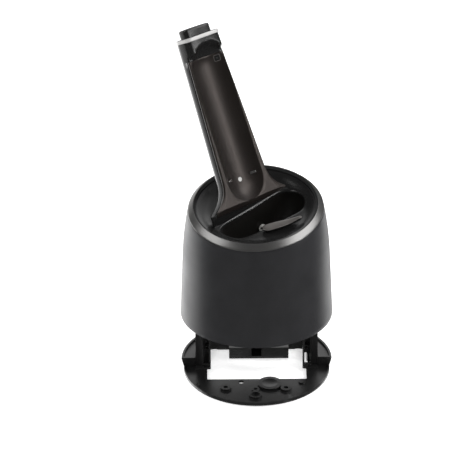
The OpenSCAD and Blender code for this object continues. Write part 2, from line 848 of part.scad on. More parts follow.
// Sits on the deck in front of the basin, in a frame turned by latch_turn
latch_turn = 22;
latch_at = [13.4, -34.1];
latch_w = 10;
latch_low_z = 1;
latch_top_z = 4.6;
latch_pin_y = -1.8;
latch_pin_z = 2.4;
latch_pin_r = 1;
latch_barrel = [-12, 4];
lug_w = 2.2;
lug_gap = 0.3;

module latch_frame() {
    deck_frame() rotate([0, 0, latch_turn]) translate([latch_at[0], latch_at[1], -dish]) children();
}

// Leaf outline: blunt on the left, pointed on the right
function latch_half(t) = latch_w / 2 * sin(180 * pow(t, 0.6));

module latch_outline() {
    ts = [for (i = [1:15]) i / 16];
    polygon(concat([[-latch_l / 2, 0]], [for (t = ts) [latch_l * (t - 0.5), -latch_half(t)]],
        [[latch_l / 2, 0]], [for (t = flipped(ts)) [latch_l * (t - 0.5), latch_half(t)]]));
}

// Lug that holds one end of the latch's pin, grown by g for the pocket round it
module latch_lug(side, g = 0) {
    x = side > 0 ? latch_barrel[1] + lug_gap : latch_barrel[0] - lug_gap - lug_w;
    box(x - g, x + lug_w + g, latch_pin_y - 1.3 - g, latch_pin_y + 1.3 + g, -0.6, latch_pin_z + 1.3 + g);
}

module shaver_latch() {
    color(GUNMETAL) latch_frame() difference() {
        union() {
            translate([0, 0, latch_low_z]) linear_extrude(height = latch_top_z - latch_low_z) latch_outline();
            translate([latch_barrel[0], latch_pin_y, latch_pin_z]) rotate([0, 90, 0])
                cylinder(r = latch_pin_r + 1, h = latch_barrel[1] - latch_barrel[0]);
        }
        translate([-latch_l, latch_pin_y, latch_pin_z]) rotate([0, 90, 0])
            cylinder(r = latch_pin_r + 0.05, h = latch_l + latch_barrel[1] + 3);
        for (side = [-1, 1]) latch_lug(side, 0.3);
    }
}

module latch_pin() {
    color(SILVER) latch_frame() translate([latch_barrel[0] - lug_gap - lug_w, latch_pin_y, latch_pin_z])
        rotate([0, 90, 0]) cylinder(r = latch_pin_r,
            h = latch_barrel[1] - latch_barrel[0] + 2 * (lug_gap + lug_w));
}

// ---------- pump ----------

module pump_volute() {
    color(MOULDED) difference() {
        union() {
            translate([pump_x, pump_y, volute_z]) cylinder(r = pump_r, h = volute_h - 2);
            translate([pump_x - 10, pump_y - pump_r + 4, volute_z + 6]) rotate([0, -90, 0])
                cylinder(r = pipe_r + 1, h = 8);
        }
        translate([pump_x, pump_y, volute_z + 2]) cylinder(r = impeller_r + 1.5, h = volute_h);
        translate([pump_x, pump_y, volute_z - 1]) cylinder(r = pipe_bore, h = 5);
        translate([pump_x, pump_y - pump_r + 4, volute_z + 6]) rotate([0, -90, 0])
            cylinder(r = pipe_bore, h = 30);
    }
}

module pump_cover() {
    color(MOULDED) translate([pump_x, pump_y, motor_z - 2]) difference() {
        cylinder(r = pump_r, h = 2);
        translate([0, 0, -1]) cylinder(r = shaft_r + 0.05, h = 4);
    }
}

module pump_motor() {
    color(SILVER) translate([pump_x, pump_y, motor_z]) difference() {
        union() {
            cylinder(r = motor_r, h = motor_h);
            translate([0, 0, motor_h - eps]) cylinder(r = 4, h = 2);
        }
        translate([0, 0, -1]) cylinder(r = shaft_r + 0.05, h = motor_h - 2);
    }
}

module pump_impeller() {
    color(MOULDED) translate([pump_x, pump_y, volute_z + 2.6]) difference() {
        union() {
            cylinder(r = impeller_r, h = 1.6);
            cylinder(r = 3, h = 7);
            for (a = [0:60:300]) rotate([0, 0, a]) translate([2, -0.6, 0]) cube([impeller_r - 2.2, 1.2, 6.5]);
        }
        translate([0, 0, -1]) cylinder(r = shaft_r, h = 10);
    }
}

module motor_shaft() {
    color(SILVER) translate([pump_x, pump_y, volute_z + 2.6])
        cylinder(r = shaft_r, h = motor_z + motor_h - 4 - volute_z - 2.6);
}

suction_x = 20;
suction_y = 8;
suction_z = chassis_z - 6;

module suction_pipe() {
    length = norm([pump_x - suction_x, pump_y - suction_y]);
    color(MOULDED) translate([suction_x, suction_y, 0])
        rotate([0, 0, atan2(pump_y - suction_y, pump_x - suction_x)]) difference() {
            union() {
                translate([0, 0, suction_z]) rotate([0, 90, 0]) cylinder(r = pipe_r, h = length);
                translate([0, 0, suction_z - 12]) cylinder(r = pipe_r, h = 12);
                translate([length, 0, suction_z]) cylinder(r = pipe_r, h = chassis_top_z - suction_z);
                translate([0, 0, suction_z]) sphere(r = pipe_r);
                translate([length, 0, suction_z]) sphere(r = pipe_r);
            }
            translate([0, 0, suction_z]) rotate([0, 90, 0]) cylinder(r = pipe_bore, h = length);
            translate([0, 0, suction_z - 13]) cylinder(r = pipe_bore, h = 13);
            translate([length, 0, suction_z]) cylinder(r = pipe_bore, h = 20);
        }
}

feed_x = 6;
feed_y = pump_y - pump_r + 4;
feed_z = volute_z + 6;
feed_top_z = basin_floor_z + 12;
feed_end_y = 8.5;
nozzle_x = pump_x - 18;

module feed_pipe() {
    color(SILVER) difference() {
        union() {
            translate([feed_x, feed_y, feed_z]) rotate([0, 90, 0])
                cylinder(r = pipe_r, h = nozzle_x - feed_x);
            translate([feed_x, feed_y, feed_z]) sphere(r = pipe_r);
            translate([feed_x, feed_y, feed_z]) cylinder(r = pipe_r, h = feed_top_z - feed_z);
            translate([feed_x, feed_y, feed_top_z]) sphere(r = pipe_r);
            translate([feed_x, feed_y, feed_top_z]) rotate([90, 0, 0])
                cylinder(r = pipe_r, h = feed_y - feed_end_y);
        }
        translate([feed_x, feed_y, feed_z]) rotate([0, 90, 0]) cylinder(r = pipe_bore, h = 30);
        translate([feed_x, feed_y, feed_z]) cylinder(r = pipe_bore, h = feed_top_z - feed_z);
        translate([feed_x, feed_y, feed_top_z]) rotate([90, 0, 0]) cylinder(r = pipe_bore, h = 40);
    }
}

// ---------- electrics and rear controls ----------

module main_board() {
    color(BOARD_GREEN) {
        box(-45, -8, 32, 54, chassis_top_z + 4, chassis_top_z + 5.6);
        for (p = [[-42, 37], [-10, 34], [-42, 52], [-10, 52]])
            translate([p[0], p[1], chassis_top_z]) cylinder(r = 1.8, h = 4 + eps);
        translate([-38, 44, chassis_top_z + 5.5]) cylinder(r = 5, h = 12);
        box(-28, -16, 40, 50, chassis_top_z + 5.5, chassis_top_z + 12);
    }
}

module power_socket() {
    color(RUBBER) rotate([0, 0, socket_turn]) difference() {
        union() {
            box(-socket_w / 2 + 0.2, socket_w / 2 - 0.2, 58, housing_r - wall + 1,
                socket_z - socket_hh / 2 + 0.2, socket_z + socket_hh / 2 - 0.2);
            intersection() {
                box(-socket_w / 2 - 2, socket_w / 2 + 2, 66, 90, socket_z - socket_hh / 2 - 2,
                    socket_z + socket_hh / 2 + 2);
                translate([0, 0, socket_z - 10])
                    cylinder(r1 = shell_r(socket_z - 10) - wall, r2 = shell_r(socket_z + 10) - wall,
                        h = 20, $fn = 128);
            }
        }
        box(-socket_w / 2 + 2, socket_w / 2 - 2, 61, 90, socket_z - socket_hh / 2 + 2,
            socket_z + socket_hh / 2 - 2);
        for (x = [-2.6, 2.6]) translate([x, 50, socket_z]) rotate([-90, 0, 0]) cylinder(r = 0.9, h = 20);
    }
}

module socket_pins() {
    color(BRASS) rotate([0, 0, socket_turn])
        for (x = [-2.6, 2.6]) translate([x, 56, socket_z]) rotate([-90, 0, 0]) cylinder(r = 0.9, h = 14);
}

module release_button() {
    color(MOULDED) difference() {
        box(-release_w / 2, release_w / 2, 66, 80, release_z - release_h / 2, release_z + release_h / 2);
        translate([0, 0, release_z - 20]) difference() {
            cylinder(r = 200, h = 40);
            translate([0, 0, -1]) cylinder(r = shell_r(release_z) + 1.2, h = 42, $fn = 96);
        }
    }
}

module release_slider() {
    color(MOULDED) {
        box(-slider_w / 2, slider_w / 2, hook_y, 66, release_z - slider_t / 2, release_z + slider_t / 2);
        box(-slider_w / 2 + 1, slider_w / 2 - 1, hook_y, hook_y + hook_t, hook_drop_z,
            release_z - slider_t / 2 + eps);
        box(-slider_w / 2 + 1, slider_w / 2 - 1, hook_y, hook_y + hook_t + 2, hook_drop_z, hook_drop_z + 2.4);
        box(-slider_w / 2, slider_w / 2, 52, 54, release_z - slider_t / 2 - 5, release_z);
    }
}

module release_guide() {
    color(MOULDED) for (y = [32, 60]) difference() {
        box(-slider_w / 2 - 2.5, slider_w / 2 + 2.5, y, y + 3, release_z - 9, chassis_z);
        box(-slider_w / 2 - 0.3, slider_w / 2 + 0.3, y - 1, y + 4, release_z - slider_t / 2 - 0.3,
            release_z + slider_t / 2 + 0.3);
    }
}

module release_spring() {
    color(SILVER) translate([0, 35.1, release_z - 5]) rotate([-90, 0, 0]) coil(2, 0.6, 16.8, 7);
}

base_tray();
base_rear_housing();
column_left();
column_right();
lift_spring_left();
lift_spring_right();
rubber_feet();
base_screws();
outer_shell();
metal_ring();
deck_seal();
basin_deck();
chassis_plate();
guide_sleeve_left();
guide_sleeve_right();
drain_spout();
spout_seal();
tower_rear_shell();
tower_front_panel();
silver_ring();
status_lens();
sensor_window();
tower_board();
start_switch();
start_button();
start_spring();
contact_left();
contact_right();
shaver_latch();
latch_pin();
pump_motor();
pump_volute();
pump_cover();
pump_impeller();
motor_shaft();
suction_pipe();
feed_pipe();
main_board();
power_socket();
socket_pins();
release_button();
release_slider();
release_guide();
release_spring();
chassis_screws();
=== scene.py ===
"""Looks for the shaver cleaning station, laid out as an add-on and run as a script."""

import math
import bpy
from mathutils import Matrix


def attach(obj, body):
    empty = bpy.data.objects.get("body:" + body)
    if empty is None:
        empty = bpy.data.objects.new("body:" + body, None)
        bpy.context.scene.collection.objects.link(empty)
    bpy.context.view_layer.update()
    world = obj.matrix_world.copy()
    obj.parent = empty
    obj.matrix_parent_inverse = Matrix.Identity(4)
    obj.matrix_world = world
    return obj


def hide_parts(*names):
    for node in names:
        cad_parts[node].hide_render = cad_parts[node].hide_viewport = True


bl_info = {
    "name": "Cleaning Station Looks",
    "version": (1, 0, 0),
    "blender": (4, 5, 0),
    "location": "3D View > Sidebar > Station",
    "description": "Finishes, detail pieces and studio stage for a shaver cleaning station",
    "category": "Object",
}

import bmesh
import bpy
from mathutils import Matrix, Vector

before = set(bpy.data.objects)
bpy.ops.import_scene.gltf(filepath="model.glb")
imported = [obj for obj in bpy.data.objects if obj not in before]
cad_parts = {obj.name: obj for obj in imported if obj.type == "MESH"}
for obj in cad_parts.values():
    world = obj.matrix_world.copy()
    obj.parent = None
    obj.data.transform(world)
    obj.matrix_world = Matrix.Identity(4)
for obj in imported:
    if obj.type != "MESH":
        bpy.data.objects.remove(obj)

MM = 0.001
SENSOR_MM = 36.0
PHOTO_PX = 470
FOCAL_PX = 2561.4


# ---------------------------------------------------------------- properties


class StationFinishes(bpy.types.PropertyGroup):
    """Colours and roughnesses of the station's finishes."""

    body_colour: bpy.props.FloatVectorProperty(
        name="Body colour", description="Satin paint of the round body",
        subtype="COLOR", size=3, min=0, max=1, default=(0.017, 0.017, 0.0185))
    body_roughness: bpy.props.FloatProperty(
        name="Body roughness", description="Roughness of the body's satin paint",
        subtype="FACTOR", min=0, max=1, default=0.40)
    ring_colour: bpy.props.FloatVectorProperty(
        name="Ring colour", description="Gunmetal of the ring round the deck",
        subtype="COLOR", size=3, min=0, max=1, default=(0.17, 0.168, 0.165))
    gloss_colour: bpy.props.FloatVectorProperty(
        name="Gloss colour", description="High gloss black of the deck and the tower's back",
        subtype="COLOR", size=3, min=0, max=1, default=(0.006, 0.006, 0.0065))
    panel_colour: bpy.props.FloatVectorProperty(
        name="Panel colour", description="Satin brownish grey of the tower's front",
        subtype="COLOR", size=3, min=0, max=1, default=(0.0075, 0.0062, 0.0056))
    moulding_colour: bpy.props.FloatVectorProperty(
        name="Moulding colour", description="Fine satin black of the base and columns",
        subtype="COLOR", size=3, min=0, max=1, default=(0.008, 0.008, 0.008))
    band_colour: bpy.props.FloatVectorProperty(
        name="Band colour", description="Pale band under the tower's cap",
        subtype="COLOR", size=3, min=0, max=1, default=(0.40, 0.395, 0.39))
    latch_colour: bpy.props.FloatVectorProperty(
        name="Latch colour", description="Satin brownish grey of the leaf's top",
        subtype="COLOR", size=3, min=0, max=1, default=(0.10, 0.093, 0.088))


class StudioStage(bpy.types.PropertyGroup):
    """Camera, floor and lights."""

    focal_mm: bpy.props.FloatProperty(
        name="Focal length", description="Camera focal length on a 36 mm sensor",
        min=20, max=400, default=FOCAL_PX / PHOTO_PX * SENSOR_MM)
    camera_distance: bpy.props.FloatProperty(
        name="Camera distance", description="Distance from the camera to the station's middle",
        subtype="DISTANCE", unit="LENGTH", min=0.5, max=10, default=2.5)
    camera_pitch: bpy.props.FloatProperty(
        name="Camera pitch", description="How far the camera looks down",
        subtype="ANGLE", unit="ROTATION", min=0, max=1.5, default=0.481)
    camera_roll: bpy.props.FloatProperty(
        name="Camera roll", description="Turn of the camera about its view",
        subtype="ANGLE", unit="ROTATION", min=-0.2, max=0.2, default=-0.008)
    floor_colour: bpy.props.FloatVectorProperty(
        name="Floor colour", description="Plain pale floor",
        subtype="COLOR", size=3, min=0, max=1, default=(0.93, 0.93, 0.93))
    floor_glow: bpy.props.FloatProperty(
        name="Floor glow",
        description="Light that the floor gives off, which keeps its shadows pale",
        min=0, max=4, default=0.55)
    room_light: bpy.props.FloatProperty(
        name="Room light", description="Brightness of the plain surroundings",
        min=0, max=4, default=0.06)
    light_power: bpy.props.FloatProperty(
        name="Light power", description="Scale on all the studio lights",
        min=0, max=10, default=1.0)


def finishes():
    """The scene's finish settings."""
    return bpy.context.scene.station_finishes


def studio():
    """The scene's stage settings."""
    return bpy.context.scene.station_stage


# ---------------------------------------------------------------- shader nodes

PATCH_SCALE, PATCH_DETAIL = 45.0, 3.0
GRAIN_DETAIL = 2.0
GRAIN_HEIGHT = 0.0005
PATCH_SPAN = (0.3, 0.7)
TONE_SPAN = (0.35, 0.65)
LEAST_ROUGH = 0.02
EDGE_SPAN = (0.53, 0.60)
EDGE_SHINE = 0.12


def noise(tree, place, scale, detail):
    """Noise over a piece, with features of about 1 / scale metres."""
    node = tree.nodes.new("ShaderNodeTexNoise")
    node.inputs["Scale"].default_value = scale
    node.inputs["Detail"].default_value = detail
    tree.links.new(place, node.inputs["Vector"])
    return node.outputs["Fac"]


def mapped(tree, value, span, low, high, blend="LINEAR"):
    """A value brought from a span to between low and high."""
    node = tree.nodes.new("ShaderNodeMapRange")
    node.interpolation_type = blend
    node.inputs["From Min"].default_value, node.inputs["From Max"].default_value = span
    node.inputs["To Min"].default_value = low
    node.inputs["To Max"].default_value = high
    tree.links.new(value, node.inputs["Value"])
    return node.outputs["Result"]


def combined(tree, operation, *values):
    """A math node over values that are sockets or plain numbers."""
    node = tree.nodes.new("ShaderNodeMath")
    node.operation = operation
    for socket, value in zip(node.inputs, values):
        if isinstance(value, (int, float)):
            socket.default_value = value
        else:
            tree.links.new(value, socket)
    return node.outputs["Value"]


def rubbed(tree, patches, tone, rough, pale):
    """Tone and roughness with outer edges rubbed paler and shinier, unevenly."""
    pointed = tree.nodes.new("ShaderNodeNewGeometry").outputs["Pointiness"]
    edges = mapped(tree, pointed, EDGE_SPAN, 0.0, 1.0, "SMOOTHSTEP")
    amount = combined(tree, "MULTIPLY", edges, patches)
    mix = tree.nodes.new("ShaderNodeMix")
    mix.data_type = "RGBA"
    mix.inputs["B"].default_value = pale
    tree.links.new(amount, mix.inputs["Factor"])
    tree.links.new(tone, mix.inputs["A"])
    return mix.outputs["Result"], combined(tree, "MULTIPLY_ADD", amount, -EDGE_SHINE, rough)


def finish(name, colour, roughness, mottle=0.04, grain=900.0, depth=0.02, tint=0.08, metallic=0.0,
           coat=0.0, coat_roughness=0.1, specular=0.5, gloss_tint=(1, 1, 1), wear=0.0):
    """A procedural finish: patchy roughness, fine grain, a slight change of tone, rubbed edges.

    mottle and tint are how far roughness and tone vary, grain and depth are the grain's scale and
    strength, and wear is how much paler the edges get."""
    mat = bpy.data.materials.get(name)
    if mat is not None:
        return mat
    mat = bpy.data.materials.new(name)
    mat.use_nodes = True
    tree = mat.node_tree
    shader = tree.nodes["Principled BSDF"]
    for socket, value in (("Metallic", metallic), ("Specular IOR Level", specular),
                          ("Specular Tint", (*gloss_tint, 1)), ("Coat Weight", coat),
                          ("Coat Roughness", coat_roughness)):
        shader.inputs[socket].default_value = value

    place = tree.nodes.new("ShaderNodeTexCoord").outputs["Object"]
    patches = noise(tree, place, PATCH_SCALE, PATCH_DETAIL)
    rough = mapped(tree, patches, PATCH_SPAN, max(LEAST_ROUGH, roughness - mottle),
                   min(1.0, roughness + mottle))
    ramp = tree.nodes.new("ShaderNodeValToRGB")
    for element, position, change in zip(ramp.color_ramp.elements, TONE_SPAN, (-tint, tint)):
        element.position = position
        element.color = [min(1.0, c * (1 + change)) for c in colour] + [1]
    tree.links.new(patches, ramp.inputs["Fac"])
    tone = ramp.outputs["Color"]
    if wear:
        pale = [min(1.0, c + wear) for c in colour] + [1]
        tone, rough = rubbed(tree, patches, tone, rough, pale)
    tree.links.new(tone, shader.inputs["Base Color"])
    tree.links.new(rough, shader.inputs["Roughness"])

    bump = tree.nodes.new("ShaderNodeBump")
    bump.inputs["Strength"].default_value = depth
    bump.inputs["Distance"].default_value = GRAIN_HEIGHT
    tree.links.new(noise(tree, place, grain, GRAIN_DETAIL), bump.inputs["Height"])
    tree.links.new(bump.outputs["Normal"], shader.inputs["Normal"])
    return mat


# ---------------------------------------------------------------- finishes


def body_paint():
    """Charcoal satin paint of the body."""
    f = finishes()
    return finish("body_paint", f.body_colour, f.body_roughness, mottle=0.03, grain=1400,
                  depth=0.10, specular=0.3, wear=0.02)


def ring_metal():
    """Brushed gunmetal of the ring."""
    return finish("ring_metal", finishes().ring_colour, 0.30, mottle=0.012, tint=0.03, grain=1800,
                  depth=0.015, metallic=0.85)


def gloss_black():
    """Polished black of the deck, the tower's back and the cap."""
    return finish("gloss_black", finishes().gloss_colour, 0.045, mottle=0.015, grain=500,
                  depth=0.004, coat=0.5, coat_roughness=0.03)


def panel_satin():
    """Brownish satin of the tower's front."""
    return finish("panel_satin", finishes().panel_colour, 0.40, mottle=0.03, grain=1600,
                  depth=0.05, specular=0.45, gloss_tint=(1.0, 0.88, 0.83))


def moulding():
    """Fine satin black plastic."""
    return finish("moulding", finishes().moulding_colour, 0.33, mottle=0.05, grain=1200,
                  depth=0.06, wear=0.03)


def band_pearl():
    """Pale lacquer of the band under the cap."""
    return finish("band_pearl", finishes().band_colour, 0.3, mottle=0.03, tint=0.03, coat=0.3)


def latch_lacquer():
    """Satin lacquer on the leaf's top."""
    return finish("latch_lacquer", finishes().latch_colour, 0.33, mottle=0.04, grain=1500,
                  depth=0.04, metallic=0.4, wear=0.04)


def funnel_satin():
    """Duller black inside the basin."""
    return finish("funnel_satin", (0.006, 0.0055, 0.005), 0.38, mottle=0.04, grain=1300,
                  depth=0.05, specular=0.3)


def rubber():
    """Matt black rubber."""
    return finish("rubber", (0.012, 0.012, 0.012), 0.62, mottle=0.08, grain=1500, depth=0.12)


def steel():
    """Bright steel of screws, springs and the motor."""
    return finish("steel", (0.52, 0.52, 0.53), 0.28, mottle=0.06, metallic=1.0)


def plated():
    """Plating of the charging contacts."""
    return finish("plated", (0.40, 0.39, 0.38), 0.25, mottle=0.05, metallic=1.0)


def light_guide():
    """Milky plastic of the status lens."""
    return finish("light_guide", (0.42, 0.42, 0.41), 0.35, mottle=0.03, tint=0.03)


def window_rim():
    """Grey rim of the small window."""
    return finish("window_rim", (0.07, 0.066, 0.063), 0.3, mottle=0.04, grain=1300, depth=0.03)


def board_green():
    """Solder mask of the circuit boards."""
    return finish("board_green", (0.015, 0.10, 0.04), 0.35, mottle=0.06)


def brass():
    """Brass of the inlet's pins."""
    return finish("brass", (0.62, 0.45, 0.18), 0.3, mottle=0.06, metallic=1.0)


def natural_tube():
    """Milky plastic of the pipes and the impeller."""
    return finish("natural_tube", (0.42, 0.42, 0.40), 0.4, mottle=0.05)


JOIN_MM = 0.01
EDGE_MM = 0.3
EDGE_ANGLE = 38


def dress(material, *names):
    """Gives CAD nodes a finish and softly rounded edges."""
    for name in names:
        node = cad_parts[name]
        node.data.materials.clear()
        node.data.materials.append(material)
        join = node.modifiers.new("join", "WELD")
        join.merge_threshold = JOIN_MM * MM
        soft = node.modifiers.new("soft_edges", "BEVEL")
        soft.width = EDGE_MM * MM
        soft.segments = 2
        soft.limit_method = "ANGLE"
        soft.angle_limit = math.radians(EDGE_ANGLE)
        soft.use_clamp_overlap = True
        soft.harden_normals = True


# ---------------------------------------------------------------- frames and outlines, in mm


def turn(degrees, axis):
    """A turn about an axis."""
    return Matrix.Rotation(math.radians(degrees), 4, axis)


def shift(x, y, z):
    """A move in mm."""
    return Matrix.Translation((x, y, z))


# the deck's plane is tilted about a line a little in front of the middle
DECK_Z = 183.2
TILT_TURN = 8.5
TILT = 11.4
TILT_LINE = -2.2
SLOPE = math.tan(math.radians(TILT))
DECK = (shift(0, 0, DECK_Z) @ turn(-TILT_TURN, "Z") @ shift(0, TILT_LINE, TILT_LINE * SLOPE)
        @ turn(TILT, "X") @ turn(TILT_TURN, "Z"))
DISH = 3.0

TOWER_YAW = 42.0
TOWER_LEAN = 26.6
TOWER_RISE, TOWER_BACK = 24.95, 20.7
TOWER = (shift(0, 0, DECK_Z + TOWER_RISE) @ turn(TOWER_YAW, "Z") @ shift(0, TOWER_BACK, 0)
         @ turn(-TOWER_LEAN, "X"))
TOWER_TOP = 143.8

LATCH_TURN = 22
LATCH = DECK @ turn(LATCH_TURN, "Z") @ shift(13.4, -34.1, -DISH)

# the body narrows evenly up to BODY_BEND and then curves in
BODY_LOW, BODY_LOW_R = 68, 75.2
BODY_TAPER = 0.0465
BODY_BEND = 66.816
BODY_CURVE = 633.6
RIM_ROUNDS = 5
MERGE_M = 2e-6


def smooth_step(value, low, high):
    """0 up to low, 1 from high, and a smooth rise between."""
    t = min(1.0, max(0.0, (value - low) / (high - low)))
    return t * t * (3 - 2 * t)


def body_radius(z):
    """Outer radius of the body at a height."""
    up = z - BODY_LOW
    past = max(0.0, up - BODY_BEND)
    return BODY_LOW_R - BODY_TAPER * up - past * past / BODY_CURVE


def rim_height(radius, angle):
    """Height of the tilted top at a radius and an angle in radians."""
    return DECK_Z + SLOPE * radius * math.sin(angle + math.radians(TILT_TURN))


def rim_point(angle, inward, height):
    """Point on the top rim, inward from the body's edge and above the tilted plane."""
    radius = body_radius(DECK_Z)
    for _ in range(RIM_ROUNDS):
        radius = body_radius(rim_height(radius, angle))
    radius -= inward
    return (radius * math.cos(angle), radius * math.sin(angle), rim_height(radius, angle) + height)


def rows_piece(name, rows, material, body, replaced=(), close=True,
               caps=(False, False), sharp=32, frame_matrix=None, inner=None):
    """A smooth skin through rows of points, riding on a body.

    close joins each row's ends, caps fills the first and last row, sharp is the angle from which
    edges stay crisp, and inner is (first row, material) for a second finish from that row on."""
    n = len(rows[0])
    points = [Vector(p) for row in rows for p in row]
    if frame_matrix is not None:
        points = [frame_matrix @ p for p in points]
    faces = []
    span = n if close else n - 1
    for i in range(len(rows) - 1):
        for j in range(span):
            k = (j + 1) % n
            faces.append((i * n + j, i * n + k, (i + 1) * n + k, (i + 1) * n + j))
    if caps[0]:
        faces.append(tuple(range(n - 1, -1, -1)))
    if caps[1]:
        base = (len(rows) - 1) * n
        faces.append(tuple(range(base, base + n)))
    mesh = bpy.data.meshes.new(name)
    mesh.from_pydata([tuple(p * MM) for p in points], [], faces)
    merging = bmesh.new()
    merging.from_mesh(mesh)
    bmesh.ops.remove_doubles(merging, verts=merging.verts, dist=MERGE_M)
    bmesh.ops.recalc_face_normals(merging, faces=merging.faces)
    merging.to_mesh(mesh)
    merging.free()
    mesh.shade_smooth()
    mesh.set_sharp_from_angle(angle=math.radians(sharp))
    piece = bpy.data.objects.new(name, mesh)
    bpy.context.scene.collection.objects.link(piece)
    mesh.materials.append(material)
    if inner:
        first, second = inner
        mesh.materials.append(second)
        for number in range(first * span, min(len(mesh.polygons), (len(rows) - 1) * span)):
            mesh.polygons[number].material_index = 1
    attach(piece, body)
    if replaced:
        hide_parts(*replaced)
    return piece


def thicken(piece, wall):
    """Gives an open skin a wall inward, in mm."""
    skin = piece.modifiers.new("thickness", "SOLIDIFY")
    skin.thickness = wall * MM
    skin.offset = -1


CORNER_STEPS = 8


def corner_points(x, y, radius, start, z):
    """A quarter round about a point, from a start angle in radians."""
    angles = [start + math.pi / 2 * i / CORNER_STEPS for i in range(CORNER_STEPS + 1)]
    return [(x + radius * math.cos(a), y + radius * math.sin(a), z) for a in angles]


# ---------------------------------------------------------------- base


class STATION_OT_base(bpy.types.Operator):
    """Finish the base, its columns, feet, screws and lift springs"""

    bl_idname = "station.base"
    bl_label = "Base"

    def execute(self, context):
        dress(moulding(), "base_tray", "base_rear_housing", "column_left", "column_right")
        dress(rubber(), "rubber_feet")
        dress(steel(), "base_screws", "lift_spring_left", "lift_spring_right")
        return {"FINISHED"}


# ---------------------------------------------------------------- deck, ring and lip

# the basin's opening, seen along the deck and turned with the tower: two rounds of different size
# joined by straight sides and cut off straight at the rear
RIGHT_END, RIGHT_R = (28.05, -10.6), 19.5
LEFT_END, LEFT_R = (-26.94, -5.1), 19.01
OPENING_REAR = 5.6
BASIN_MIDDLE = (1.5, -9.0)
MOST_REACH, HALVINGS = 70.0, 24

DECK_STEPS = 224
REACH_EASINGS = 16
DECK_R = 60.2
DISH_RISE = 4.9
DISH_FROM, DISH_TO = 46.0, 58.5
DECK_PARTS = (0.0, 0.02, 0.06, 0.12, 0.2, 0.3, 0.42, 0.55, 0.68, 0.8, 0.9, 1.0)
LIP = 2.6
LIP_ANGLES = (15, 30, 45, 60, 75, 90)
FUNNEL_ROWS = 20
FUNNEL_BEND = 1.25
FLOOR = -37.6
FLOOR_R, FLOOR_STRETCH = 7.0, 0.16
DRAIN = (0.0, -6.5)
DRAIN_ROWS = ((6.2, 0.0), (6.0, -0.2), (6.0, -2.5))
LIP_LAST_ROW = len(DECK_PARTS) + len(LIP_ANGLES) - 1
DECK_WALL = 1.6


def inside_opening(x, y):
    """Whether a point is inside the basin's opening."""
    if y > OPENING_REAR:
        return False
    ax, ay = LEFT_END
    bx, by = RIGHT_END
    length = math.hypot(bx - ax, by - ay)
    ux, uy = (bx - ax) / length, (by - ay) / length
    along = (x - ax) * ux + (y - ay) * uy
    beside = (x - ax) * -uy + (y - ay) * ux
    t = min(1.0, max(0.0, along / length))
    return math.hypot(along - t * length, beside) <= LEFT_R + (RIGHT_R - LEFT_R) * t


def opening_reach(angle):
    """Distance from the basin's middle to the opening's edge at an angle."""
    dx, dy = math.cos(angle), math.sin(angle)
    low, high = 0.0, MOST_REACH
    for _ in range(HALVINGS):
        reach = (low + high) / 2
        if inside_opening(BASIN_MIDDLE[0] + dx * reach, BASIN_MIDDLE[1] + dy * reach):
            low = reach
        else:
            high = reach
    return low


def deck_height(radius):
    """Height of the dished deck at a distance from its middle, in the deck frame."""
    return -DISH + DISH_RISE * smooth_step(radius, DISH_FROM, DISH_TO)


def deck_rows():
    """The dished deck over a soft lip into the basin, from its edge in and down to the drain."""
    angles = [2 * math.pi * i / DECK_STEPS for i in range(DECK_STEPS)]
    reaches = [opening_reach(a) for a in angles]
    for _ in range(REACH_EASINGS):
        reaches = [(reaches[i - 1] + 2 * reaches[i] + reaches[(i + 1) % DECK_STEPS]) / 4
                   for i in range(DECK_STEPS)]
    spin = Matrix.Rotation(math.radians(TOWER_YAW), 2)
    middle, drain = spin @ Vector(BASIN_MIDDLE), spin @ Vector(DRAIN)
    headings = [spin @ Vector((math.cos(a), math.sin(a))) for a in angles]
    outer, edge, lips, low = [], [], [], []
    for heading, reach in zip(headings, reaches):
        b = middle.dot(heading)
        far = middle + heading * (-b + math.sqrt(b * b - middle.dot(middle) + DECK_R ** 2))
        near = middle + heading * reach
        outer.append(far)
        edge.append(near)
        lips.append(min(LIP, (far - near).length * 0.5))
        low.append(drain + heading * (FLOOR_R + FLOOR_STRETCH * (reach - FLOOR_R)))
    rims = [near + (far - near).normalized() * lip for far, near, lip in zip(outer, edge, lips)]

    rows = []
    for part in DECK_PARTS:
        spots = [far + (rim - far) * part for far, rim in zip(outer, rims)]
        rows.append([(spot.x, spot.y, deck_height(spot.length)) for spot in spots])
    for swing in map(math.radians, LIP_ANGLES):
        row = []
        for rim, near, lip in zip(rims, edge, lips):
            spot = rim + (near - rim) * math.sin(swing)
            row.append((spot.x, spot.y, deck_height(rim.length) - lip * (1 - math.cos(swing))))
        rows.append(row)
    for i in range(1, FUNNEL_ROWS + 1):
        swing = math.radians(90 * i / FUNNEL_ROWS)
        inset = 1 - math.cos(swing) ** FUNNEL_BEND
        fall = math.sin(swing) ** FUNNEL_BEND
        row = []
        for (_, _, z), near, bottom in zip(rows[LIP_LAST_ROW], edge, low):
            spot = near + (bottom - near) * inset
            row.append((spot.x, spot.y, z + (FLOOR - z) * fall))
        rows.append(row)
    for radius, depth in DRAIN_ROWS:
        rows.append([(drain.x + radius * heading.x, drain.y + radius * heading.y, FLOOR + depth)
                     for heading in headings])
    return rows


def build_deck():
    """The deck with its basin: gloss on top, duller in the basin."""
    skin = rows_piece("deck_dish", deck_rows(), gloss_black(), "housing", ("basin_deck",),
                      frame_matrix=DECK, sharp=50,
                      inner=(LIP_LAST_ROW, funnel_satin()))
    thicken(skin, DECK_WALL)


RIM_STEPS = 288
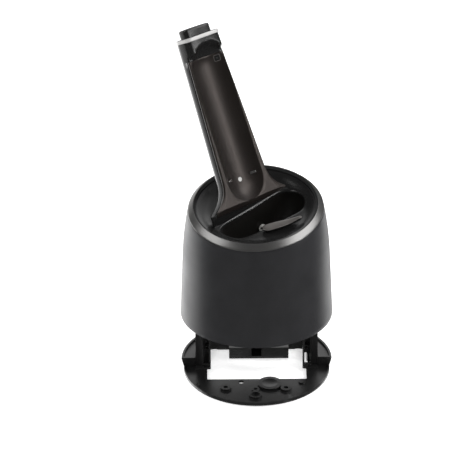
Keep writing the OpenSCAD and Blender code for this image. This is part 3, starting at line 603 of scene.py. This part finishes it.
# (inward from the body's edge, height over the tilted plane)
RING_PROFILE = (
    (0.15, 0.1), (0.15, 0.35), (0.35, 0.75), (0.7, 1.1), (1.3, 1.65), (2.2, 2.45), (3.2, 3.3),
    (4.1, 4.05), (4.7, 4.55), (5.05, 4.85), (5.3, 4.98), (5.5, 4.9), (5.6, 4.7), (5.6, 1.6),
    (3.6, -3.0), (2.6, -3.0), (2.6, 0.1), (0.15, 0.1))
LIP_PROFILE = (
    (5.65, 4.1), (5.8, 4.25), (6.2, 4.3), (6.6, 4.2), (6.75, 4.0), (6.8, 3.7), (6.95, 3.55),
    (7.3, 3.6), (7.6, 3.5), (7.75, 3.2), (7.8, 2.35), (5.65, 2.35), (5.65, 4.1))


def rim_rows(profile):
    """Closed rows round the rim for a profile."""
    angles = [2 * math.pi * i / RIM_STEPS for i in range(RIM_STEPS)]
    return [[rim_point(a, inward, height) for a in angles] for inward, height in profile]


class STATION_OT_housing(bpy.types.Operator):
    """Finish the body, the ring, the lip and the deck"""

    bl_idname = "station.housing"
    bl_label = "Housing"

    def execute(self, context):
        dress(body_paint(), "outer_shell")
        rows_piece("ring_band", rim_rows(RING_PROFILE), ring_metal(), "housing",
                   ("metal_ring",))
        rows_piece("deck_lip", rim_rows(LIP_PROFILE), rubber(), "housing",
                   ("deck_seal",))
        build_deck()
        dress(rubber(), "spout_seal")
        dress(moulding(), "chassis_plate", "guide_sleeve_left", "guide_sleeve_right",
              "drain_spout")
        dress(steel(), "chassis_screws")
        return {"FINISHED"}


# ---------------------------------------------------------------- tower

# in the tower's own frame: x across, -y toward the shaver, z up the tower
PANEL_Y = -5.5
PART_Y = -3.2
CREASE = -23.6
HOLLOW_Y, HOLLOW_R, HOLLOW_LOW, HOLLOW_HIGH = -27.3, 31.0, -2.4, 108.6
HOLLOW_EDGE, EDGE_REACH, EDGE_TRIM = 0.7, 4, 0.02
NO_HOLLOW = -60.0
COLLAR, COLLAR_SPREAD, COLLAR_LEAD = 125.8, 3.0, 2.5
COLLAR_FRONT = -12.5
COLLAR_CROWN = 2.0
SHELL_CORNER, COLLAR_CORNER = 1.5, 6.0
PART_GAP = 0.05
BAND = 140.3
BAND_CORNER = 6.0
BELLY, BACK = 2.3, 16.1
CAP_RISE = 8.3
CAP_INSET = 5.0
CAP_FRONT, CAP_BACK = -7.5, 11.1
CAP_CORNER = 4.0
CAP_CROWN = 0.7
CAP_GAP = 0.35
HALF_TOP, HALF_TAPER = 20.75, 0.049
FLARE_FROM, FLARE_MOST, FLARE_RATE, FLARE_POWER = 5, 19.0, 0.00134, 2.8
PANEL_WALL = 0.9
SHELL_GAP = 2.3
HOLLOW_STEPS, MARGIN_STEPS, MARGIN_CROWDING = 28, 8, 1.2
MOST_LIP, BARE_LIP = 0.94, 0.5
SHELL_STEPS, TOP_STEPS, CROWN_STEPS = 48, 64, 16

PANEL_HEIGHTS = ([CREASE, -23.3, -23.0, -22.6, -22.2, -21.6, -21.0, -20, -18.5, -17, -15, -13, -11,
                  -9, -7, -5, HOLLOW_LOW] + [1 + 4 * i for i in range(30)] + [120.0, 121.6])
# rows under the crease, (drop, step back)
FOOT_ROWS = ((8.0, 0.9), (5.4, 0.9), (5.1, 0.8), (4.9, 0.15), (4.6, 0.0), (1.0, 0.0), (0.35, 0.05))
FOOT_SET = 0.4
CREASE_SET = 0.35
PANEL_ROUND = 1.0
PANEL_RETURN = 0.15
FOOT_TOP = CREASE + 2
FOOT_CLEAR = 1.2

SHELL_TOP = 121.7
SHELL_HEIGHTS = ([-46, -42, -38, -34, -31, -28, -26] + list(range(-24, 3, 2)) + [5]
                 + [10 + 6 * i for i in range(18)] + [116, SHELL_TOP])
COLLAR_HEIGHTS = [SHELL_TOP, 122.2, 122.8, 123.4, 124, 124.6, 125.2, 125.8, 126.4, 127, 127.6,
                  128.2] + list(range(129, 140)) + [139.8, BAND]


def tower_half(z):
    """Half width of the tower at a height up it."""
    flare = FLARE_RATE * max(0.0, FLARE_FROM - z) ** FLARE_POWER
    return HALF_TOP + HALF_TAPER * (TOWER_TOP - z) + min(FLARE_MOST, flare)


def past_hollow(z):
    """How far a height is past the straight part of the hollow."""
    return max(0.0, HOLLOW_LOW - z, z - HOLLOW_HIGH)


def hollow(x, z, grow=0.0):
    """How far back the shaver's hollow reaches at a point, or None outside it."""
    room = (HOLLOW_R + grow) ** 2 - x * x - past_hollow(z) ** 2
    return HOLLOW_Y + math.sqrt(room) if room > 0 else None


def face(x, z, flat):
    """The front surface: a flat face meeting the hollow over a softly rounded edge."""
    deep = hollow(x, z)
    if deep is None:
        deep = NO_HOLLOW
    gap = deep - flat
    if abs(gap) >= HOLLOW_EDGE * EDGE_REACH:
        return max(deep, flat)
    return (deep + flat + math.hypot(gap, HOLLOW_EDGE)) / 2 - HOLLOW_EDGE * EDGE_TRIM


def collar_share(z):
    """0 below the collar, 1 on it."""
    return smooth_step(z, COLLAR - COLLAR_SPREAD, COLLAR + COLLAR_SPREAD)


def collar_face(z):
    """Front plane of the tower's upper part, which steps forward at the collar."""
    step = smooth_step(z, COLLAR - COLLAR_LEAD, COLLAR + COLLAR_SPREAD)
    return PANEL_Y + (COLLAR_FRONT - PANEL_Y) * step


def across(half, z):
    """Places across the front, closer together where the hollow's edge runs."""
    room = HOLLOW_R ** 2 - (PANEL_Y - HOLLOW_Y) ** 2 - past_hollow(z) ** 2
    lip = min(math.sqrt(room), half * MOST_LIP) if room > 0 else half * BARE_LIP
    side = [lip * math.sin(math.pi / 2 * i / HOLLOW_STEPS) for i in range(HOLLOW_STEPS + 1)]
    side += [lip + (half - lip) * (i / MARGIN_STEPS) ** MARGIN_CROWDING
             for i in range(1, MARGIN_STEPS + 1)]
    return [-x for x in reversed(side[1:])] + side


def panel_rows():
    """The tower's satin front: side edges, flat margins, hollow, crease and foot."""
    lean = math.radians(TOWER_LEAN)
    rows = []
    for drop, back in FOOT_ROWS:
        y = PANEL_Y + FOOT_SET + drop * math.sin(lean) + back * math.cos(lean)
        z = CREASE - drop * math.cos(lean) + back * math.sin(lean)
        rows.append([(x, y, z) for x in across(tower_half(CREASE), CREASE)])
    for z in PANEL_HEIGHTS:
        half = tower_half(z)
        row = []
        for x in across(half, z):
            inset = 1 - min(1.0, (half - abs(x)) / PANEL_ROUND)
            y = face(x, z, PANEL_Y) + PANEL_ROUND * (1 - math.sqrt(max(0.0, 1 - inset ** 2)))
            row.append((x, y + (CREASE_SET if z == CREASE else 0.0), z))
        rows.append(row)
    for row in rows:
        first, last = row[0], row[-1]
        row.insert(0, (first[0], max(first[1], PART_Y - PANEL_RETURN), first[2]))
        row.append((last[0], max(last[1], PART_Y - PANEL_RETURN), last[2]))
    return rows


def back_curve(half, back, z, steps):
    """The rounded back of the tower, from its right side to its left."""
    return [(half * math.cos(math.pi * i / steps),
             BELLY + (back - BELLY) * math.sin(math.pi * i / steps), z) for i in range(steps + 1)]


def behind_foot(z):
    """Where the rear shell's front must stay behind, under the crease."""
    lean = math.radians(TOWER_LEAN)
    return PANEL_Y + FOOT_CLEAR + (CREASE - z) * math.tan(lean)


def back_section(z, collar=False):
    """Closed outline of the tower's rear shell at a height, below the collar or on it."""
    half = tower_half(z)
    if collar:
        front = collar_face(z)
        corner = SHELL_CORNER + (COLLAR_CORNER - SHELL_CORNER) * collar_share(z)
        crown = COLLAR_CROWN * ((half - corner) / half) ** 2 * collar_share(z)
    else:
        front, corner, crown = PART_Y + PART_GAP, SHELL_CORNER, 0.0
    span = half - corner
    points = back_curve(half, BACK, z, SHELL_STEPS)
    points += corner_points(-span, front + crown + corner, corner, math.pi, z)
    for i in range(1, SHELL_STEPS):
        x = -span + 2 * span * i / SHELL_STEPS
        if collar:
            y = face(x, z, front + COLLAR_CROWN * (x / half) ** 2 * collar_share(z))
        else:
            deep = hollow(x, z, SHELL_GAP)
            y = front if deep is None else max(front, deep)
        points.append((x, y, z))
    points += corner_points(span, front + crown + corner, corner, 1.5 * math.pi, z)
    if z < FOOT_TOP:
        limit = behind_foot(z)
        points = [(x, max(y, limit), z) for x, y, z in points]
    return points


def top_outline(half, front, back, corner, crown, z):
    """Outline of a piece at the tower's top, its front crowned."""
    span = half - corner
    points = back_curve(half, back, z, TOP_STEPS)
    points += corner_points(-span, front + crown + corner, corner, math.pi, z)
    for i in range(1, CROWN_STEPS):
        x = -span + 2 * span * i / CROWN_STEPS
        points.append((x, front + crown * (x / span) ** 2, z))
    return points + corner_points(span, front + crown + corner, corner, 1.5 * math.pi, z)


def cap_outline(grow, z):
    """Outline of the tower's cap, moved out by grow."""
    return top_outline(tower_half(BAND) - CAP_INSET + grow, CAP_FRONT - grow, CAP_BACK + grow,
                       CAP_CORNER + grow, CAP_CROWN, z)


def band_outline(grow, z):
    """Outline of the band, moved out by grow."""
    return top_outline(tower_half(BAND) + grow, COLLAR_FRONT - grow, BACK + grow,
                       BAND_CORNER + grow, 0.0, z)


def build_tower():
    """The tower's glossy rear shell and satin front."""
    sections = [back_section(z) for z in SHELL_HEIGHTS]
    sections += [back_section(z, collar=True) for z in COLLAR_HEIGHTS]
    rows_piece("tower_back", sections, gloss_black(), "housing", ("tower_rear_shell",),
               frame_matrix=TOWER, caps=(False, True), sharp=40)
    panel = rows_piece("tower_front", panel_rows(), panel_satin(), "housing",
                       ("tower_front_panel",), close=False, frame_matrix=TOWER,
                       sharp=50)
    thicken(panel, PANEL_WALL)


def build_band():
    """The pale band, up its outside and down its inside round the cap."""
    rows = [cap_outline(CAP_GAP, BAND + 0.05)]
    rows += [band_outline(grow, z) for grow, z in (
        (-0.2, BAND + 0.05), (0.3, BAND + 0.15), (0.5, BAND + 0.45), (0.5, TOWER_TOP - 0.5),
        (0.35, TOWER_TOP - 0.15), (0.0, TOWER_TOP))]
    rows += [cap_outline(grow, z) for grow, z in (
        (0.7, TOWER_TOP), (0.45, TOWER_TOP - 0.15), (CAP_GAP, TOWER_TOP - 0.5),
        (CAP_GAP, BAND + 0.05))]
    rows_piece("pale_band", rows, band_pearl(), "housing", ("silver_ring",),
               frame_matrix=TOWER)


def build_cap():
    """The cap that starts the station."""
    top = TOWER_TOP + CAP_RISE
    rows = [cap_outline(grow, z) for grow, z in (
        (0.0, BAND - 2.0), (0.0, top - 1.8), (0.0, top - 1.6), (-0.15, top - 1.0),
        (-0.5, top - 0.5), (-1.0, top - 0.15), (-1.7, top), (-3.2, top))]
    rows_piece("start_cap", rows, gloss_black(), "start_button", ("start_button",),
               frame_matrix=TOWER, caps=(True, True), sharp=60)


# (half size, corner radius, height over the hollow), from the rim's foot in to the pane's middle
WINDOW_ROWS = ((3.35, 1.1, -0.6), (3.35, 1.1, 0.28), (3.25, 1.0, 0.36), (2.95, 0.8, 0.36),
               (2.85, 0.7, 0.28), (2.85, 0.7, 0.0), (2.75, 0.65, 0.0), (2.6, 0.6, 0.16),
               (2.3, 0.5, 0.22), (0.4, 0.2, 0.24))
WINDOW_PANE_ROW = 5
WINDOW_TURN, WINDOW_RISE = -30, 15


def window_loop(half, corner, proud):
    """A rounded square standing proud of the hollow."""
    points = []
    for quarter, (across_way, up_way) in enumerate(((1, 1), (-1, 1), (-1, -1), (1, -1))):
        for i in range(7):
            a = math.pi / 2 * (quarter + i / 6)
            points.append((across_way * (half - corner) + corner * math.cos(a), -proud,
                           up_way * (half - corner) + corner * math.sin(a)))
    return points


def build_window():
    """A small dark window with a fine rim, high in the hollow on its round end."""
    spot = (TOWER @ shift(0, HOLLOW_Y, HOLLOW_HIGH) @ turn(WINDOW_TURN, "Z")
            @ turn(WINDOW_RISE, "X") @ shift(0, HOLLOW_R, 0))
    rows_piece("sight_window", [window_loop(*row) for row in WINDOW_ROWS], window_rim(), "housing",
               ("sensor_window",), frame_matrix=spot, caps=(False, True), sharp=40,
               inner=(WINDOW_PANE_ROW, gloss_black()))


class STATION_OT_tower(bpy.types.Operator):
    """Finish the tower, its controls, contacts and lights"""

    bl_idname = "station.tower"
    bl_label = "Tower"

    def execute(self, context):
        build_tower()
        build_band()
        build_cap()
        build_window()
        dress(light_guide(), "status_lens")
        dress(plated(), "contact_left", "contact_right")
        dress(board_green(), "tower_board")
        dress(moulding(), "start_switch")
        dress(steel(), "start_spring")
        return {"FINISHED"}


# ---------------------------------------------------------------- latch

LEAF_HALF, LEAF_DEEP = 20.5, 5.0
LEAF_STEPS = 48
LEAF_BLUNT, LEAF_TAPER, LEAF_POINT = 0.13, 0.3, 0.965
LEAF_NARROWING, LEAF_TAPER_POWER = 0.72, 1.5
TIP_FROM, TIP_LIFT = 0.62, 1.5
# (inset, height) from the underside up over the soft edge to the crowned top
LEAF_ROWS = ((2.4, 1.05), (1.5, 1.05), (1.1, 1.3), (0.75, 2.0), (0.3, 3.1), (0.05, 3.6),
             (0.0, 3.85), (0.1, 4.15), (0.3, 4.38), (0.6, 4.55), (1.1, 4.7), (1.8, 4.82),
             (2.7, 4.9), (3.7, 4.95), (LEAF_DEEP, 4.97))
LEAF_TOP_ROW = 7


def leaf_half(t):
    """Half depth of the leaf at a share of its length from the left."""
    taper = max(0.0, (t - LEAF_TAPER) / (1 - LEAF_TAPER)) ** LEAF_TAPER_POWER
    half = LEAF_DEEP * (1 - LEAF_NARROWING * taper)
    if t < LEAF_BLUNT:
        half *= math.sqrt(max(0.0, 1 - (1 - t / LEAF_BLUNT) ** 2))
    if t > LEAF_POINT:
        half *= math.sqrt(max(0.0, 1 - ((t - LEAF_POINT) / (1 - LEAF_POINT)) ** 2))
    return half


def leaf_outline(inset, z):
    """Outline of the leaf, blunt at its left end and drawn out to a raised tip at its right."""
    places = [0.5 - 0.5 * math.cos(math.pi * i / LEAF_STEPS) for i in range(LEAF_STEPS + 1)]
    share = max(0.0, 1 - inset / LEAF_DEEP)
    sides = [(-1, t) for t in places[:-1]] + [(1, t) for t in reversed(places[1:])]
    return [((2 * t - 1) * (LEAF_HALF - inset), side * leaf_half(t) * share,
             z + TIP_LIFT * smooth_step(t, TIP_FROM, 1.0)) for side, t in sides]


class STATION_OT_latch(bpy.types.Operator):
    """Make the leaf on the deck and finish its pin"""

    bl_idname = "station.latch"
    bl_label = "Latch"

    def execute(self, context):
        rows_piece("deck_leaf", [leaf_outline(*row) for row in LEAF_ROWS], gloss_black(),
                   "shaver_latch", ("shaver_latch",), frame_matrix=LATCH,
                   caps=(True, False), sharp=50, inner=(LEAF_TOP_ROW, latch_lacquer()))
        dress(moulding(), "latch_pin")
        return {"FINISHED"}


# ---------------------------------------------------------------- works


class STATION_OT_works(bpy.types.Operator):
    """Finish the pump, pipes, board, inlet and lift release"""

    bl_idname = "station.works"
    bl_label = "Works"

    def execute(self, context):
        dress(steel(), "pump_motor", "motor_shaft", "release_spring")
        dress(moulding(), "pump_volute", "pump_cover", "power_socket", "release_button",
              "release_slider", "release_guide")
        dress(natural_tube(), "pump_impeller", "suction_pipe", "feed_pipe")
        dress(board_green(), "main_board")
        dress(brass(), "socket_pins")
        return {"FINISHED"}


# ---------------------------------------------------------------- stage, in metres

LIGHTS_AIM = (0, 0, 0.2)
CAMERA_AIM = (-20.656 * MM, 0, 152.2 * MM)
FLOOR_HALF = 6.0
FAR_CLIP = 50
CORE = 0.3
SUN_DISTANCE = 2.0
BOX_DISTANCE = 1.4
# (azimuth, elevation, spread in degrees, brightness)
GLOWS = ((-46, -24, 42, 3.0), (38, -34, 24, 2.2), (0, 27, 26, 1.2), (28, 38, 22, 0.9),
         (-150, -20, 40, 0.12), (150, -20, 40, 0.12))
# name, azimuth, elevation, spread in degrees, strength
WASHES = (("left_wash", -82, 24, 20, 1.8), ("right_wash", 82, 24, 20, 1.4),
          ("front_wash", 180, 31, 16, 1.0))
# name, azimuth, elevation, width, height, radiance
BOXES = (("left_box", -97, 46, 0.8, 0.6, 3.6), ("right_box", 92, 45, 1.35, 0.60, 4.8),
         ("panel_box", 111, 17, 0.08, 0.42, 36.0), ("streak_box", 90, 13, 0.05, 0.5, 14.0))


def bearing(azimuth, elevation):
    """Direction toward a place: azimuth turns from the back (+Y) to the right (+X)."""
    a, e = math.radians(azimuth), math.radians(elevation)
    return Vector((math.sin(a) * math.cos(e), math.cos(a) * math.cos(e), math.sin(e)))


def hang(lamp, name, azimuth, elevation, distance):
    """Puts a lamp at a bearing from the station's middle, aimed at it."""
    toward = bearing(azimuth, elevation)
    holder = bpy.data.objects.new(name, lamp)
    bpy.context.scene.collection.objects.link(holder)
    holder.location = Vector(LIGHTS_AIM) + toward * distance
    holder.rotation_euler = (-toward).to_track_quat("-Z", "Y").to_euler()
    return holder


def soft_box(name, azimuth, elevation, width, height, radiance):
    """A rectangular soft box of even brightness."""
    lamp = bpy.data.lights.new(name, "AREA")
    lamp.shape = "RECTANGLE"
    lamp.size = width
    lamp.size_y = height
    lamp.energy = radiance * math.pi * width * height * studio().light_power
    hang(lamp, name, azimuth, elevation, BOX_DISTANCE)


def wash(name, azimuth, elevation, spread, strength):
    """An even light from far away, kept out of the gloss."""
    lamp = bpy.data.lights.new(name, "SUN")
    lamp.angle = math.radians(spread)
    lamp.energy = strength * studio().light_power
    hang(lamp, name, azimuth, elevation, SUN_DISTANCE).visible_glossy = False


def surroundings(level):
    """The plain room: an even level with soft glows, each full in its core and fading out."""
    world = bpy.data.worlds.new("studio")
    bpy.context.scene.world = world
    world.use_nodes = True
    tree = world.node_tree
    place = tree.nodes.new("ShaderNodeTexCoord").outputs["Generated"]
    total = level
    for azimuth, elevation, spread, brightness in GLOWS:
        facing = tree.nodes.new("ShaderNodeVectorMath")
        facing.operation = "DOT_PRODUCT"
        facing.inputs[1].default_value = bearing(azimuth, elevation)
        tree.links.new(place, facing.inputs[0])
        span = (math.cos(math.radians(spread)), math.cos(math.radians(spread * CORE)))
        glow = mapped(tree, facing.outputs["Value"], span, 0.0, brightness, "SMOOTHSTEP")
        total = combined(tree, "ADD", glow, total)
    background = tree.nodes["Background"]
    tree.links.new(total, background.inputs["Strength"])
    background.inputs["Color"].default_value = (1, 1, 1, 1)


def lay_floor():
    """A plain pale floor that glows a little, so that its shadows stay pale."""
    s = studio()
    mesh = bpy.data.meshes.new("floor")
    corners = [(x * FLOOR_HALF, y * FLOOR_HALF, 0) for x, y in ((-1, -1), (1, -1), (1, 1), (-1, 1))]
    mesh.from_pydata(corners, [], [(0, 1, 2, 3)])
    floor = bpy.data.objects.new("floor", mesh)
    bpy.context.scene.collection.objects.link(floor)
    paint = finish("floor_paint", s.floor_colour, 0.7, mottle=0.02, tint=0.005)
    shader = paint.node_tree.nodes["Principled BSDF"]
    shader.inputs["Emission Color"].default_value = (1, 1, 1, 1)
    shader.inputs["Emission Strength"].default_value = s.floor_glow
    mesh.materials.append(paint)
    floor.visible_glossy = False


def set_camera():
    """The camera at the photograph's viewing angle."""
    s = studio()
    camera = bpy.data.cameras.new("camera")
    camera.sensor_width = SENSOR_MM
    camera.lens = s.focal_mm
    camera.clip_end = FAR_CLIP
    eye = bpy.data.objects.new("camera", camera)
    bpy.context.scene.collection.objects.link(eye)
    pitch, roll = s.camera_pitch, s.camera_roll
    back = Vector((0, -math.cos(pitch), math.sin(pitch)))
    up = Vector((0, math.sin(pitch), math.cos(pitch)))
    right = Vector((1, 0, 0))
    side = right * math.cos(roll) + up * math.sin(roll)
    top = up * math.cos(roll) - right * math.sin(roll)
    place = Vector(CAMERA_AIM) + back * s.camera_distance
    axes = Matrix((side, top, back)).transposed()
    eye.matrix_world = Matrix.Translation(place) @ axes.to_4x4()
    bpy.context.scene.camera = eye
    bpy.context.scene.view_settings.view_transform = "Standard"


class STATION_OT_stage(bpy.types.Operator):
    """Lay the floor, hang the lights and set the camera"""

    bl_idname = "station.stage"
    bl_label = "Stage"

    def execute(self, context):
        lay_floor()
        surroundings(studio().room_light)
        for row in WASHES:
            wash(*row)
        for row in BOXES:
            soft_box(*row)
        set_camera()
        return {"FINISHED"}


# ---------------------------------------------------------------- panel and registration

PIECES = (STATION_OT_stage, STATION_OT_base, STATION_OT_housing, STATION_OT_tower,
          STATION_OT_latch, STATION_OT_works)


class STATION_PT_pieces(bpy.types.Panel):
    """Lists the station's settings and the operators that build its looks"""

    bl_idname = "STATION_PT_pieces"
    bl_label = "Cleaning Station"
    bl_space_type = "VIEW_3D"
    bl_region_type = "UI"
    bl_category = "Station"

    def draw(self, context):
        for group in (context.scene.station_finishes, context.scene.station_stage):
            column = self.layout.column(align=True)
            for name in group.__annotations__:
                column.prop(group, name)
        column = self.layout.column(align=True)
        for piece in PIECES:
            column.operator(piece.bl_idname)


CLASSES = (StationFinishes, StudioStage) + PIECES + (STATION_PT_pieces,)


def register():
    """Registers the classes and hangs the settings on the scene."""
    for cls in CLASSES:
        bpy.utils.register_class(cls)
    bpy.types.Scene.station_finishes = bpy.props.PointerProperty(type=StationFinishes)
    bpy.types.Scene.station_stage = bpy.props.PointerProperty(type=StudioStage)


def unregister():
    """Takes back what register added."""
    del bpy.types.Scene.station_stage
    del bpy.types.Scene.station_finishes
    for cls in reversed(CLASSES):
        bpy.utils.unregister_class(cls)


def main():
    """Builds every piece."""
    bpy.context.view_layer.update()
    register()
    bpy.ops.station.stage()
    bpy.ops.station.base()
    bpy.ops.station.housing()
    bpy.ops.station.tower()
    bpy.ops.station.latch()
    bpy.ops.station.works()


if __name__ == "__main__":
    main()
